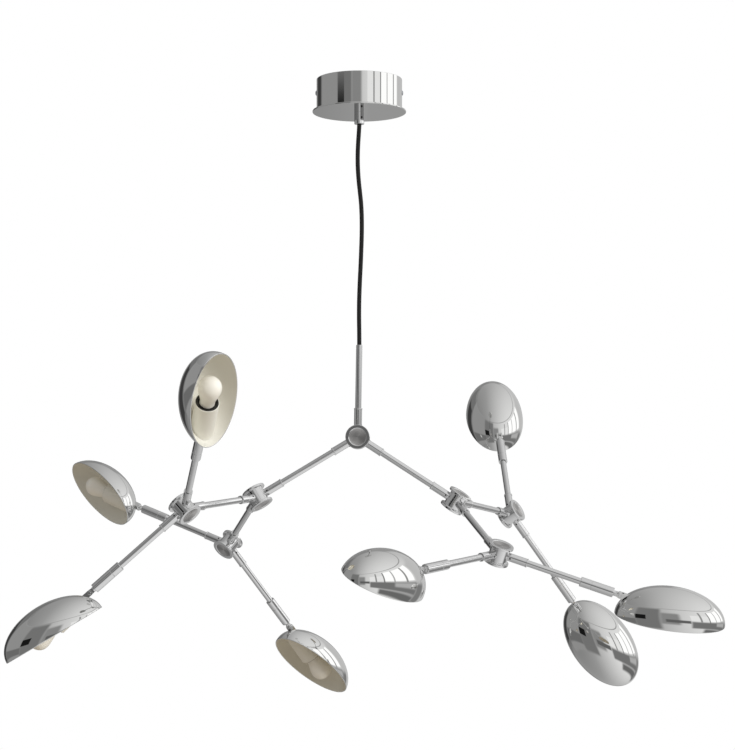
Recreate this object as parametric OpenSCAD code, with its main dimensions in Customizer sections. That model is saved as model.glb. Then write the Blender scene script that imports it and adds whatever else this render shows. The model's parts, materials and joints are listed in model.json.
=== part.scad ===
// Adjustable chandelier: a ceiling canopy, a textile cord and a branching frame of
// tubes and spool hubs that carries eight shell-shaped lamp heads.
// The origin is the centre of the ceiling face, +Z is up and +X is to the right.

/* [Canopy] */
// Outer diameter of the canopy cup
cup_d = 109.5; // [100:0.5:140]
// Height of the canopy cup
cup_h = 40; // [34:1:60]
// Sheet thickness of the cup
cup_wall = 1.2; // [0.8:0.1:2]
// Diameter of the bottom plate
plate_d = 120; // [116:1:160]
// Thickness of the bottom plate
plate_t = 2; // [1.5:0.1:4]
// Distance from the ceiling to the axis of the cup's side screws
side_screw_z = 17; // [14:1:22]
// Diameter of the cord gland
gland_d = 12.7; // [10:0.1:16]
// Length of the cord gland below the plate
gland_len = 15; // [10:1:25]

/* [Ceiling bracket] */
// Width of the bracket strip
bracket_w = 22; // [16:1:30]
// Thickness of the bracket strip
bracket_t = 2; // [1.5:0.1:3]
// Distance between the two ceiling screws
ceiling_screw_gap = 60; // [50:1:80]
// Diameter of the holes for the ceiling screws
ceiling_hole_d = 4.5; // [4:0.1:6]

/* [Cord and stem] */
// Diameter of the textile cord
cord_d = 5.6; // [5:0.1:7]
// Length of the stem, from its top to the centre of the middle hub
stem_len = 118; // [100:1:160]
// Lean of the hanging frame to the right
lean = 1; // [0:0.5:3]
// Turn of the hanging frame about its stem
frame_turn = 1; // [-10:1:10]

/* [Tubes] */
// Outer diameter of the stem and of every arm
tube_d = 8; // [7:0.1:9]
// Wall of the tubes
tube_wall = 1; // [0.8:0.1:1.4]
// Distance between the centres of neighbouring hubs
arm_len = 150; // [130:1:190]
// Distance from an outer hub's centre to a lamp head's pivot
head_arm_len = 154; // [130:1:190]
// Radial clearance of a tube in a hub port or an end sleeve
tube_clearance = 0.05; // [0.02:0.01:0.1]

/* [Hubs] */
// Diameter of a hub's drum
drum_d = 24; // [20:0.5:26]
// Overall length of a hub, over both flanges
hub_len = 24.5; // [22:0.5:32]
// Diameter of a hub's flanges
flange_d = 31; // [28:0.5:38]
// Thickness of a flange
flange_t = 3; // [2.5:0.1:4]
// Diameter of the dish in a flange's outer face
dish_d = 23; // [16:0.5:26]
// Depth of the dish
dish_depth = 1.4; // [0.8:0.1:1.8]
// Outer diameter of a hub's ports
port_d = 10.2; // [10:0.1:11.5]
// Distance from a hub's centre to the mouth of a port
port_reach = 37; // [30:1:45]
// Angle from the stem's line to each main arm
main_branch_angle = 58; // [50:1:62]
// Angle from an incoming arm's line to each outgoing arm
branch_angle = 60; // [54:1:62]

/* [Turn of the hubs on their arms] */
// Left hub
left_twist = 103; // [95:1:110]
// Right hub
right_twist = -78; // [-85:1:-70]
// Left front hub
left_front_twist = 13; // [5:1:20]
// Left back hub
left_back_twist = 66; // [60:1:72]
// Right back hub
right_back_twist = 26; // [20:1:32]
// Right front hub
right_front_twist = -163; // [-170:1:-157]

/* [Lamp heads] */
// Length of a shade along its rim
shade_len = 133; // [120:1:160]
// Width of a shade, which is twice its depth
shade_w = 81; // [74:1:98]
// Sheet thickness of a shade
shade_wall = 1.2; // [0.8:0.1:1.6]
// Angle between a lampholder's axis and its shade's rim
shade_pitch = 12; // [6:1:14]
// Distance along the rim from a shade's tip to the lampholder's axis
entry_inset = 10; // [8:1:14]
// Distance from the pivot to the shade's skin, along the axis
pivot_standoff = 6; // [5.5:0.1:8]
// Outer diameter of the end sleeves
sleeve_d = 12; // [11:0.1:14]
// Length of the end sleeves
sleeve_len = 42; // [34:1:50]
// Gap between an end sleeve and the pivot
sleeve_gap = 8; // [7.5:0.5:10]
// Diameter of the knuckle's eye and ears
knuckle_d = 7; // [6.5:0.1:7.4]
// Thickness of the tongue on the end sleeve
tongue_t = 3; // [2.5:0.1:4]
// Thickness of each ear on the shade
ear_t = 2.2; // [1.8:0.1:3]
// Gap between the tongue and each ear
ear_gap = 0.2; // [0.1:0.05:0.3]
// Diameter of the knuckle's pin
pin_d = 3; // [2.5:0.1:3.4]
// Radial clearance of the pin in the ears
pin_clearance = 0.05; // [0.02:0.01:0.1]

/* [Lampholder and bulb] */
// Diameter of the lampholder cover
cover_d = 28; // [26:0.5:30]
// Sheet thickness of the cover
cover_wall = 1; // [0.8:0.1:1.5]
// Distance from the pivot to the open end of the cover
cover_end = 56; // [50:1:60]
// Gap between the cover and the shade
cover_gap = 0.4; // [0.3:0.1:1]
// Length of the black ring in front of the cover
ring_len = 0.8; // [0.4:0.2:3]
// Diameter of the threaded tube that joins cover and shade
nipple_d = 5; // [4:0.1:5.6]
// Diameter of the bulb
bulb_d = 27; // [25:0.5:28]
// Distance from the pivot to the centre of the bulb's round end
bulb_centre = 82; // [76:1:90]
// Diameter of the bulb's neck
bulb_neck_d = 17.6; // [16:0.1:19]
// Diameter of the bulb's screw cap
bulb_cap_d = 13.6; // [13:0.1:14]

/* [Turn of each lamp head on its arm] */
// Lamp head 1
swivel_1 = 101; // [91:1:111]
// Lamp head 2
swivel_2 = 100; // [90:1:110]
// Lamp head 3
swivel_3 = 68; // [58:1:78]
// Lamp head 4
swivel_4 = 87; // [77:1:97]
// Lamp head 5
swivel_5 = 41; // [31:1:51]
// Lamp head 6
swivel_6 = -94; // [-104:1:-84]
// Lamp head 7
swivel_7 = 150; // [140:1:160]
// Lamp head 8
swivel_8 = -91; // [-101:1:-81]

/* [Tilt of each lamp head in its knuckle] */
// Lamp head 1
tilt_1 = -1; // [-10:1:10]
// Lamp head 2
tilt_2 = -3; // [-10:1:10]
// Lamp head 3
tilt_3 = 1; // [-10:1:10]
// Lamp head 4
tilt_4 = 1; // [-10:1:10]
// Lamp head 5
tilt_5 = 9; // [-10:1:10]
// Lamp head 6
tilt_6 = -1; // [-10:1:10]
// Lamp head 7
tilt_7 = 2; // [-10:1:10]
// Lamp head 8
tilt_8 = 0; // [-10:1:10]

/* [Hidden] */
$fn = 48;

chrome = [0.80, 0.81, 0.82];
steel = [0.62, 0.63, 0.65];
cream = [0.87, 0.85, 0.78];
frosted = [0.95, 0.94, 0.90];
black = [0.06, 0.06, 0.06];

// Which outer hub each lamp head hangs from, and on which side of it.
head_hub = ["left_front", "left_back", "left_front", "left_back",
            "right_back", "right_front", "right_back", "right_front"];
head_side = [1, 1, -1, -1, 1, 1, -1, -1];
swivels = [swivel_1, swivel_2, swivel_3, swivel_4, swivel_5, swivel_6, swivel_7, swivel_8];
tilts = [tilt_1, tilt_2, tilt_3, tilt_4, tilt_5, tilt_6, tilt_7, tilt_8];

// Canopy
cup_floor_hole_d = gland_d + 8;
gland_thread_d = gland_d - 3;
gland_thread_len = cup_wall + plate_t + 8;
gland_base_z = cup_h + plate_t;
wire_hole_d = 4;
side_screw_d = 4;
side_screw_head_d = 6.4;
side_screw_head_t = 1.6;
side_screw_len = 8;
grub_d = 3;
grub_len = 3;
grub_drop = 7;
grub_proud = 0.4;
grub_angle = -62;
ear_inset = 1;
ear_drop = side_screw_z + 6;
block_size = [18, 14, 10];
block_x = -15;
cable_hole_d = 10;
cable_hole_x = 10;
screw_clearance = 0.1;

// Hub
hub_cavity_d = drum_d - 5;
hub_cavity_len = hub_len - 2 * flange_t - 2;
tube_end_in_hub = hub_cavity_d / 2 + 1;
port_bore_d = tube_d + 2 * tube_clearance;
port_lip_t = 1.5;
port_lip_h = 0.35;

// Stem
ferrule_t = 4;

// Knuckle
slot_d = knuckle_d + 1;
slot_w = tongue_t + 2 * ear_gap;
lug_half_w = slot_w / 2 + ear_t;
tube_end_gap = 6;
sleeve_groove_at = 13;
sleeve_groove_w = 0.8;
sleeve_groove_depth = 0.3;
sleeve_chamfer = 0.6;

// Shade
half_len = shade_len / 2;
half_w = shade_w / 2;
profile_steps = 20;
entry_x = -(half_len - entry_inset);
entry_z = half_w * sqrt(1 - pow(entry_x / half_len, 2));
pivot_x = entry_x - pivot_standoff * cos(shade_pitch);
pivot_z = entry_z + pivot_standoff * sin(shade_pitch);

// Lampholder and bulb
nipple_clearance = 0.1;
nipple_start = slot_d / 2 + 0.5;
nipple_len = pivot_standoff + 9;
holder_clearance = 0.2;
holder_start = 30;
holder_d = cover_d - 2 * cover_wall - 2 * holder_clearance;
ring_d = cover_d - cover_wall;
ring_wall = 3;
socket_d = bulb_cap_d + 0.8;
socket_start = holder_start + 3;
cap_start = socket_start + 1;
neck_start = cover_end - 1;
neck_end = cover_end + ring_len + 1;
bulb_steps = 8;

// Route of the cord, from the gland down to the stem.
cord_points = [
    [0, 0, -57], [-0.6, 0, -68], [-1.4, 0, -80], [-2, 0, -94], [-2, 0, -108],
    [-1.4, 0, -121], [-0.4, 0, -133], [0.9, 0, -145], [2.2, 0, -158], [3, 0, -173],
    [3.2, 0, -188], [3, 0, -203], [2.4, 0, -220], [1.7, 0, -238], [0.8, 0, -256],
    [0.1, 0, -274], [-0.3, 0, -291], [-0.3, 0, -307], [-0.1, 0, -323], [0, 0, -340]
];
cord_sides = 12;
cord_steps = 40;
stem_top = -cord_points[len(cord_points) - 1][2];

// ---------- placing ----------

module along_x() rotate([0, 90, 0]) children();

module branch(side, angle, length)
    rotate([0, -side * angle, 0]) translate([length, 0, 0]) children();

module at_stem() translate([0, 0, -stem_top]) rotate([0, lean, 0]) children();

module at_centre()
    at_stem() translate([0, 0, -stem_len]) along_x() rotate([frame_turn, 0, 0]) children();

module at_right()
    at_centre() branch(1, main_branch_angle, arm_len) rotate([right_twist, 0, 0]) children();

module at_left()
    at_centre() branch(-1, main_branch_angle, arm_len) rotate([left_twist, 0, 0]) children();

module at_outer(name) {
    if (name == "left_front")
        at_left() branch(1, branch_angle, arm_len) rotate([left_front_twist, 0, 0]) children();
    if (name == "left_back")
        at_left() branch(-1, branch_angle, arm_len) rotate([left_back_twist, 0, 0]) children();
    if (name == "right_back")
        at_right() branch(1, branch_angle, arm_len) rotate([right_back_twist, 0, 0]) children();
    if (name == "right_front")
        at_right() branch(-1, branch_angle, arm_len) rotate([right_front_twist, 0, 0]) children();
}

module at_sleeve(n)
    at_outer(head_hub[n - 1]) branch(head_side[n - 1], branch_angle, head_arm_len)
        rotate([swivels[n - 1], 0, 0]) children();

module at_head(n) at_sleeve(n) rotate([0, tilts[n - 1], 0]) children();

// From the head's frame to the frame of the shade's rim, whose centre is the origin.
module at_rim()
    rotate([0, -shade_pitch, 0]) translate([-pivot_x, 0, -pivot_z]) children();

// ---------- shapes ----------

module tube(outer_d, inner_d, start, end)
    along_x() difference() {
        translate([0, 0, start]) cylinder(d = outer_d, h = end - start);
        translate([0, 0, start - 1]) cylinder(d = inner_d, h = end - start + 2);
    }

// A solid of revolution about X with the shade's long section, cut off at the rim.
module half_spheroid(half_length, radius, below = 0) {
    section = [for (i = [0 : profile_steps])
        [radius * sin(180 * i / profile_steps), -half_length * cos(180 * i / profile_steps)]];
    intersection() {
        along_x() rotate_extrude() polygon(section);
        translate([-half_length, -radius, -below])
            cube([2 * half_length, 2 * radius, radius + below]);
    }
}

module hub(angle = branch_angle) {
    color(chrome) difference() {
        union() {
            rotate([90, 0, 0]) cylinder(d = drum_d, h = hub_len, center = true);
            for (s = [-1, 1])
                translate([0, s * (hub_len - flange_t) / 2, 0]) rotate([90, 0, 0])
                    cylinder(d = flange_d, h = flange_t, center = true);
            hub_ports(angle);
        }
        for (s = [-1, 1])
            translate([0, s * hub_len / 2, 0]) rotate([90, 0, 0])
                cylinder(d = dish_d, h = 2 * dish_depth, center = true);
        rotate([90, 0, 0]) cylinder(d = hub_cavity_d, h = hub_cavity_len, center = true);
        hub_bores(angle);
    }
}

// The incoming port looks along -X, the outgoing ones are turned by the branch angle.
module port_directions(angle) {
    rotate([0, 180, 0]) children();
    rotate([0, angle, 0]) children();
    rotate([0, -angle, 0]) children();
}

module hub_ports(angle) port_directions(angle) along_x() {
    cylinder(d = port_d, h = port_reach);
    translate([0, 0, port_reach - port_lip_t])
        cylinder(d = port_d + 2 * port_lip_h, h = port_lip_t);
}

module hub_bores(angle) port_directions(angle) along_x()
    translate([0, 0, hub_cavity_d / 2 - 2]) cylinder(d = port_bore_d, h = port_reach);

// An arm from one hub to the next, laid along X from the first hub's centre.
module arm_between_hubs(side, angle)
    rotate([0, -side * angle, 0]) color(chrome)
        tube(tube_d, tube_d - 2 * tube_wall, tube_end_in_hub, arm_len - tube_end_in_hub);

module arm_to_head(side)
    rotate([0, -side * branch_angle, 0]) color(chrome)
        tube(tube_d, tube_d - 2 * tube_wall, tube_end_in_hub,
             head_arm_len - sleeve_gap - tube_end_gap);

// The sleeve turns on the arm's end and ends in a tongue with a cross pin.
module end_sleeve(n) at_sleeve(n) color(chrome) {
    sleeve_start = sleeve_gap + sleeve_len;
    difference() {
        along_x() rotate_extrude() polygon([
            [0, -sleeve_start], [sleeve_d / 2 - sleeve_chamfer, -sleeve_start],
            [sleeve_d / 2, -sleeve_start + sleeve_chamfer],
            [sleeve_d / 2, -sleeve_start + sleeve_groove_at],
            [sleeve_d / 2 - sleeve_groove_depth, -sleeve_start + sleeve_groove_at],
            [sleeve_d / 2 - sleeve_groove_depth, -sleeve_start + sleeve_groove_at + sleeve_groove_w],
            [sleeve_d / 2, -sleeve_start + sleeve_groove_at + sleeve_groove_w],
            [sleeve_d / 2, -sleeve_gap - sleeve_chamfer],
            [sleeve_d / 2 - sleeve_chamfer, -sleeve_gap], [0, -sleeve_gap]
        ]);
        along_x() translate([0, 0, -sleeve_start - 1])
            cylinder(d = port_bore_d, h = sleeve_len - tube_end_gap + 2);
    }
    rotate([90, 0, 0]) cylinder(d = knuckle_d, h = tongue_t, center = true);
    translate([-sleeve_gap - 1, -tongue_t / 2, -knuckle_d / 2])
        cube([sleeve_gap + 1, tongue_t, knuckle_d]);
    rotate([90, 0, 0]) cylinder(d = pin_d, h = 2 * lug_half_w, center = true);
}

// The shell and the two ears that hold the pin.
module shade(n) at_head(n) color(chrome) difference() {
    union() {
        at_rim() half_spheroid(half_len, half_w);
        rotate([90, 0, 0]) cylinder(d = knuckle_d, h = 2 * lug_half_w, center = true);
        translate([0, -lug_half_w, -knuckle_d / 2])
            cube([nipple_len, 2 * lug_half_w, knuckle_d]);
    }
    at_rim() half_spheroid(half_len - shade_wall, half_w - shade_wall, 1);
    rotate([90, 0, 0]) cylinder(d = slot_d, h = slot_w, center = true);
    translate([-slot_d, -slot_w / 2, -slot_d / 2]) cube([slot_d, slot_w, slot_d]);
    rotate([90, 0, 0])
        cylinder(d = pin_d + 2 * pin_clearance, h = 2 * lug_half_w + 2, center = true);
    along_x() translate([0, 0, nipple_start])
        cylinder(d = nipple_d + 2 * nipple_clearance, h = nipple_len);
}

// A cover that follows the inside of the shade, on a threaded tube, and the black
// holder inside it with the ring that the bulb goes through.
module lampholder(n) at_head(n) {
    color(cream) {
        difference() {
            cover_blank(0, cover_end);
            cover_blank(cover_wall, cover_end + 1);
        }
        intersection() {
            along_x() translate([0, 0, nipple_start + ear_gap])
                cylinder(d = nipple_d, h = nipple_len);
            translate([0, -cover_d / 2, -cover_d / 2]) cube([cover_end, cover_d, cover_d]);
        }
    }
    color(black) holder();
}

module cover_blank(inset, end) intersection() {
    along_x() cylinder(d = cover_d - 2 * inset, h = end);
    at_rim() half_spheroid(half_len - shade_wall - cover_gap - inset,
                           half_w - shade_wall - cover_gap - inset, half_w);
}

module holder() difference() {
    along_x() {
        translate([0, 0, holder_start])
            cylinder(d = holder_d, h = cover_end - holder_start + ring_len / 2);
        translate([0, 0, cover_end]) cylinder(d = ring_d, h = ring_len);
    }
    along_x() translate([0, 0, socket_start]) cylinder(d = socket_d, h = cover_end);
    along_x() translate([0, 0, neck_start - 1]) cylinder(d = cover_d - 2 * ring_wall, h = cover_end);
}

module bulb(n) at_head(n) color(frosted) along_x() rotate_extrude() polygon(concat(
    [[0, cap_start], [bulb_cap_d / 2 - 2, cap_start], [bulb_cap_d / 2, cap_start + 2],
     [bulb_cap_d / 2, neck_start], [bulb_neck_d / 2, neck_start]],
    [for (i = [0 : bulb_steps]) let (t = i / bulb_steps)
        [bulb_neck_d / 2 + (bulb_d - bulb_neck_d) / 2 * t * t * (3 - 2 * t),
         neck_end + (bulb_centre - neck_end) * t]],
    [for (i = [1 : bulb_steps])
        [bulb_d / 2 * cos(90 * i / bulb_steps),
         bulb_centre + bulb_d / 2 * sin(90 * i / bulb_steps)]]
));

// ---------- canopy, cord and stem ----------

module canopy_cup() color(chrome) difference() {
    translate([0, 0, -cup_h]) cylinder(d = cup_d, h = cup_h, $fn = 96);
    translate([0, 0, -cup_h + cup_wall]) cylinder(d = cup_d - 2 * cup_wall, h = cup_h, $fn = 96);
    translate([0, 0, -cup_h - 1]) cylinder(d = cup_floor_hole_d, h = cup_wall + 2);
    side_screw_axis() cylinder(d = side_screw_d + 2 * screw_clearance, h = 2 * cup_d, center = true);
}

module side_screw_axis() translate([0, 0, -side_screw_z]) along_x() children();

module canopy_plate() color(chrome) translate([0, 0, -cup_h - plate_t]) difference() {
    cylinder(d = plate_d, h = plate_t, $fn = 96);
    translate([0, 0, -1]) cylinder(d = gland_thread_d + 2 * screw_clearance, h = plate_t + 2);
}

// A strip under the ceiling, with a turned-down ear at each end for the side screws.
module ceiling_bracket() {
    reach = cup_d / 2 - cup_wall - ear_inset;
    color(steel) difference() {
        union() {
            intersection() {
                translate([-reach, -bracket_w / 2, -bracket_t])
                    cube([2 * reach, bracket_w, bracket_t]);
                translate([0, 0, -bracket_t])
                    cylinder(d = cup_d - 2 * cup_wall - ear_inset, h = bracket_t, $fn = 96);
            }
            for (s = [-1, 1])
                translate([s * (reach - bracket_t / 2) - bracket_t / 2, -bracket_w / 4, -ear_drop])
                    cube([bracket_t, bracket_w / 2, ear_drop]);
        }
        for (s = [-1, 1])
            translate([s * ceiling_screw_gap / 2, 0, -bracket_t - 1])
                cylinder(d = ceiling_hole_d, h = bracket_t + 2);
        translate([cable_hole_x, 0, -bracket_t - 1])
            cylinder(d = cable_hole_d, h = bracket_t + 2);
        side_screw_axis() cylinder(d = side_screw_d + screw_clearance, h = cup_d, center = true);
    }
}

module terminal_block() color(cream)
    translate([block_x - block_size[0] / 2, -block_size[1] / 2, -bracket_t - block_size[2]])
        cube(block_size);

// The two screws in the side of the cup and the grub screw in the gland.
module canopy_screws() {
    color(steel) for (s = [0, 180])
        rotate([0, 0, s]) side_screw_axis() {
            translate([0, 0, cup_d / 2]) cylinder(d = side_screw_head_d, h = side_screw_head_t);
            translate([0, 0, cup_d / 2 + side_screw_head_t / 2 - side_screw_len])
                cylinder(d = side_screw_d, h = side_screw_len);
        }
    color(black) at_grub() cylinder(d = grub_d, h = grub_len);
}

// The gland's grub screw, from its inner end outwards.
module at_grub()
    rotate([0, 0, grub_angle]) translate([0, 0, -gland_base_z - grub_drop]) along_x()
        translate([0, 0, gland_d / 2 - grub_len + grub_proud]) children();

module cord_gland() color(chrome) difference() {
    union() {
        translate([0, 0, -gland_base_z - gland_len]) cylinder(d = gland_d, h = gland_len);
        translate([0, 0, -gland_base_z]) cylinder(d = gland_thread_d, h = gland_thread_len);
    }
    translate([0, 0, -gland_base_z - gland_len - 1])
        cylinder(d = wire_hole_d, h = gland_len + gland_thread_len + 2);
    at_grub() cylinder(d = grub_d + screw_clearance, h = grub_len);
}

// Catmull-Rom interpolation between the route's points.
function route_at(i, t) =
    let (last = len(cord_points) - 1,
         a = cord_points[max(i - 1, 0)], b = cord_points[i],
         c = cord_points[min(i + 1, last)], d = cord_points[min(i + 2, last)])
    0.5 * (2 * b + (c - a) * t + (2 * a - 5 * b + 4 * c - d) * t * t
           + (3 * b - a - 3 * c + d) * t * t * t);

function cord_centre(k) =
    let (u = k / cord_steps * (len(cord_points) - 1), i = min(floor(u), len(cord_points) - 2))
    route_at(i, u - i);

module power_cord() color(black) {
    rings = [for (k = [0 : cord_steps]) let (p = cord_centre(k))
        for (s = [0 : cord_sides - 1])
            p + cord_d / 2 * [cos(360 * s / cord_sides), sin(360 * s / cord_sides), 0]];
    sides = [for (k = [0 : cord_steps - 1]) for (s = [0 : cord_sides - 1])
        let (a = k * cord_sides + s, b = k * cord_sides + (s + 1) % cord_sides)
        [a, b, b + cord_sides, a + cord_sides]];
    first = [for (s = [cord_sides - 1 : -1 : 0]) s];
    last = [for (s = [0 : cord_sides - 1]) cord_steps * cord_sides + s];
    polyhedron(points = rings, faces = concat(sides, [first, last]));
}

module stem() at_stem() color(chrome) difference() {
    translate([0, 0, -stem_len + tube_end_in_hub])
        cylinder(d = tube_d, h = stem_len - tube_end_in_hub);
    translate([0, 0, -stem_len - 1])
        cylinder(d = tube_d - 2 * tube_wall, h = stem_len + 1 - ferrule_t);
    translate([0, 0, -ferrule_t - 1]) cylinder(d = wire_hole_d, h = ferrule_t + 2);
}

// ---------- frame ----------

module main_arms() at_centre() {
    arm_between_hubs(1, main_branch_angle);
    arm_between_hubs(-1, main_branch_angle);
}

module hub_centre() at_centre() hub(main_branch_angle);
module hub_left() at_left() hub();
module hub_right() at_right() hub();
module hub_left_front() at_outer("left_front") hub();
module hub_left_back() at_outer("left_back") hub();
module hub_right_back() at_outer("right_back") hub();
module hub_right_front() at_outer("right_front") hub();

module arm_left_front() at_left() arm_between_hubs(1, branch_angle);
module arm_left_back() at_left() arm_between_hubs(-1, branch_angle);
module arm_right_back() at_right() arm_between_hubs(1, branch_angle);
module arm_right_front() at_right() arm_between_hubs(-1, branch_angle);

module head_arm(n) at_outer(head_hub[n - 1]) arm_to_head(head_side[n - 1]);

canopy_cup();
canopy_plate();
ceiling_bracket();
terminal_block();
canopy_screws();
cord_gland();
power_cord();
stem();
main_arms();
hub_centre();
hub_left();
hub_right();
hub_left_front();
hub_left_back();
hub_right_back();
hub_right_front();
arm_left_front();
arm_left_back();
arm_right_back();
arm_right_front();
for (n = [1 : 8]) {
    head_arm(n);
    end_sleeve(n);
    shade(n);
    lampholder(n);
    bulb(n);
}
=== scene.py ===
import json
import math

import bpy
import numpy as np
from mathutils import Matrix, Vector


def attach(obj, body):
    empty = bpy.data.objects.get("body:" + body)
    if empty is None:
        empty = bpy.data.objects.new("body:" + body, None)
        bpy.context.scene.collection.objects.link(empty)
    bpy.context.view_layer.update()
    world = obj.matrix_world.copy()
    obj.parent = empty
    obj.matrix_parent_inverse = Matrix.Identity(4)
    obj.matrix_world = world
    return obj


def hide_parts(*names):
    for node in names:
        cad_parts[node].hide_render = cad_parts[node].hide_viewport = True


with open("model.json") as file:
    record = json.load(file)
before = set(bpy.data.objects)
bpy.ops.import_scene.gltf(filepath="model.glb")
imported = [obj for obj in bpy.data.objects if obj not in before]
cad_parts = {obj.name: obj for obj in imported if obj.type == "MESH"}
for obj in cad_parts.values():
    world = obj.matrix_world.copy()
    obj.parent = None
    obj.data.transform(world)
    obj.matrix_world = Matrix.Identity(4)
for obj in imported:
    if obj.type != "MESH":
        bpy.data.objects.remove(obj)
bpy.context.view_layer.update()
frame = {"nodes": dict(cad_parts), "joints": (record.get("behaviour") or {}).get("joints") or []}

MM = 0.001

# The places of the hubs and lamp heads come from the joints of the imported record.
JOINTS = {j["name"]: j for j in frame["joints"]}
HEADS = range(1, 9)
HEAD_TILTS = {1: -1, 2: -3, 3: 1, 4: 1, 5: 9, 6: -1, 7: 2, 8: 0}

# Sizes of the pieces, in millimetres.
TUBE_R = 4.0
STEM_LEN = 118.0
HUB_LEN, DRUM_R, FLANGE_R, FLANGE_T = 24.5, 12.0, 15.5, 3.0
DISH_R, DISH_DEPTH = 11.5, 1.4
PORT_R, PORT_REACH, TUBE_START = 5.1, 37.0, 10.5
PORT_BEAD, PORT_SCREW_AT = 0.35, 15.0
BORE_GAP = 0.1
SLEEVE_R, SLEEVE_LEN, SLEEVE_GAP = 6.0, 42.0, 8.0
SLEEVE_GROOVE_AT, ARM_TIP_GAP = 13.0, 14.0
KNUCKLE_R, TONGUE_T, EAR_T, SLOT_W = 3.5, 3.0, 2.2, 3.4
PIN_R, PIN_HEAD_R = 1.45, 2.2
SHADE_A, SHADE_B, SHADE_WALL = 66.5, 40.5, 1.2
SHADE_PITCH, ENTRY_INSET, PIVOT_STANDOFF = 12.0, 10.0, 6.0
COVER_R, COVER_WALL, COVER_END, COVER_GAP = 14.0, 1.0, 56.0, 0.4
RING_LEN, RING_R, RING_BORE_R = 0.8, 13.5, 10.9
HOLDER_START, SOCKET_FLOOR, SOCKET_R = 30.2, 34.0, 7.3
BULB_R, BULB_NECK_R, BULB_CENTRE, BULB_CAP_R = 13.5, 8.8, 82.0, 6.8
CUP_R, CUP_H, CUP_WALL = 54.75, 40.0, 1.2
PLATE_R, PLATE_T = 60.0, 2.0
GLAND_R, GLAND_LEN, GLAND_NECK_R = 6.35, 15.0, 4.6
CORD_R = 2.8
SIDE_SCREW_Z = -17.0
SIT = 0.02  # the hair's breadth between faces that would otherwise share a plane


# ---------- camera ----------

def place_camera():
    """A long lens straight in front of the lamp, shifted to keep the uprights parallel."""
    lens = bpy.data.cameras.new("camera")
    lens.sensor_fit = "HORIZONTAL"
    lens.sensor_width = 36.0
    lens.lens = 93.03
    lens.shift_y = 0.163
    lens.clip_end = 60.0
    camera = bpy.data.objects.new("camera", lens)
    camera.location = (0.0105, -2.435, -0.532)
    camera.rotation_euler = (math.radians(90), 0, 0)
    bpy.context.scene.collection.objects.link(camera)
    bpy.context.scene.camera = camera


# ---------- shader building ----------

def add_node(tree, kind, settings=None, **inputs):
    """A new node. settings are its properties, and inputs are socket values or links by name."""
    node = tree.nodes.new(kind)
    for key, value in (settings or {}).items():
        setattr(node, key, value)
    for key, value in inputs.items():
        socket = node.inputs[int(key[1:])] if key[0] == "_" else node.inputs[key.replace("_", " ")]
        if isinstance(value, bpy.types.NodeSocket):
            tree.links.new(value, socket)
        else:
            socket.default_value = value
    return node


def grey(value):
    return (value, value, value, 1.0)


def set_stops(node, stops):
    """Fills a colour ramp from (position, colour) pairs."""
    elements = node.color_ramp.elements
    while len(elements) > 1:
        elements.remove(elements[-1])
    elements[0].position, elements[0].color = stops[0]
    for position, colour in stops[1:]:
        elements.new(position).color = colour


def group_tree(name, inputs, outputs, tree_kind="ShaderNodeTree"):
    """A node group, with the sockets it is given and the sockets it gives out."""
    tree = bpy.data.node_groups.new(name, tree_kind)
    for label, kind, value in inputs:
        socket = tree.interface.new_socket(label, in_out="INPUT", socket_type=kind)
        if value is not None:
            socket.default_value = value
    for label, kind in outputs:
        tree.interface.new_socket(label, in_out="OUTPUT", socket_type=kind)
    return tree, tree.nodes.new("NodeGroupInput").outputs, tree.nodes.new("NodeGroupOutput").inputs


def make_polish_group():
    """Mirror polish: faint clouding of the tone, wiped streaks in the gloss and a slight waviness."""
    tree, given, out = group_tree(
        "polish",
        [("Bright", "NodeSocketColor", grey(0.82)), ("Cloudy", "NodeSocketColor", grey(0.76)),
         ("Cloud Scale", "NodeSocketFloat", 30.0), ("Gloss", "NodeSocketFloat", 0.03),
         ("Haze", "NodeSocketFloat", 0.07), ("Waviness", "NodeSocketFloat", 0.02)],
        [("Color", "NodeSocketColor"), ("Roughness", "NodeSocketFloat"), ("Normal", "NodeSocketVector")])
    where = add_node(tree, "ShaderNodeTexCoord").outputs["Object"]
    cloud = add_node(tree, "ShaderNodeTexNoise", Vector=where, Scale=given["Cloud Scale"], Detail=4.0, Roughness=0.6)
    tone = add_node(tree, "ShaderNodeMix", {"data_type": "RGBA"}, _0=cloud.outputs["Fac"],
                    _6=given["Bright"], _7=given["Cloudy"])
    tree.links.new(tone.outputs[2], out["Color"])
    squeezed = add_node(tree, "ShaderNodeMapping", Vector=where, Scale=(40.0, 40.0, 700.0))
    streak = add_node(tree, "ShaderNodeTexNoise", Vector=squeezed.outputs["Vector"], Scale=2.0, Detail=3.0)
    both = add_node(tree, "ShaderNodeMath", {"operation": "MULTIPLY"},
                    _0=streak.outputs["Fac"], _1=cloud.outputs["Fac"])
    gloss = add_node(tree, "ShaderNodeMapRange", _0=both.outputs[0], _1=0.12, _2=0.42,
                     _3=given["Gloss"], _4=given["Haze"])
    tree.links.new(gloss.outputs[0], out["Roughness"])
    wave = add_node(tree, "ShaderNodeTexNoise", Vector=where, Scale=45.0, Detail=1.0)
    bump = add_node(tree, "ShaderNodeBump", Strength=given["Waviness"], Distance=0.001, Height=wave.outputs["Fac"])
    tree.links.new(bump.outputs["Normal"], out["Normal"])
    return tree


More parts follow.
